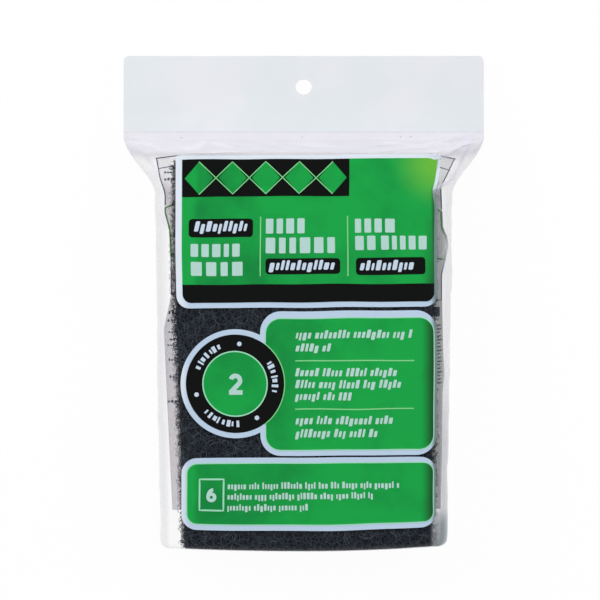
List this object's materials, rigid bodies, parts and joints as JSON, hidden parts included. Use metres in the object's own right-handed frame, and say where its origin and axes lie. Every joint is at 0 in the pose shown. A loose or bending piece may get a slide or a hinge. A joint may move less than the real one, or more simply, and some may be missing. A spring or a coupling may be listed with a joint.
{
  "type": "bagged steel wool pads",
  "caption": "Flat clear film bag with a printed front and a milky hang-hole header, holding dark non-woven steel wool pads in two layers.",
  "frame": {"origin": "below the middle of the pack, on the plane that its back lies on", "axes": "+X across the pack to the right as its front is read, +Y from the bottom edge to the header, +Z out of the printed front"},
  "size_m": [0.1422, 0.1955, 0.0257],
  "materials": {
    "clear_film": "thin clear film, glossy, softly wrinkled",
    "milky_film": "thicker milky film, satin",
    "dark_fibre": "open non-woven fibre, matt charcoal"
  },
  "bodies": {
    "root": {"film_bag": "clear_film", "header_strip": "milky_film", "pad_back_bottom": "dark_fibre", "pad_back_middle": "dark_fibre", "pad_back_top": "dark_fibre", "pad_front_bottom": "dark_fibre", "pad_front_middle": "dark_fibre", "pad_front_top": "dark_fibre"}
  },
  "joints": []
}
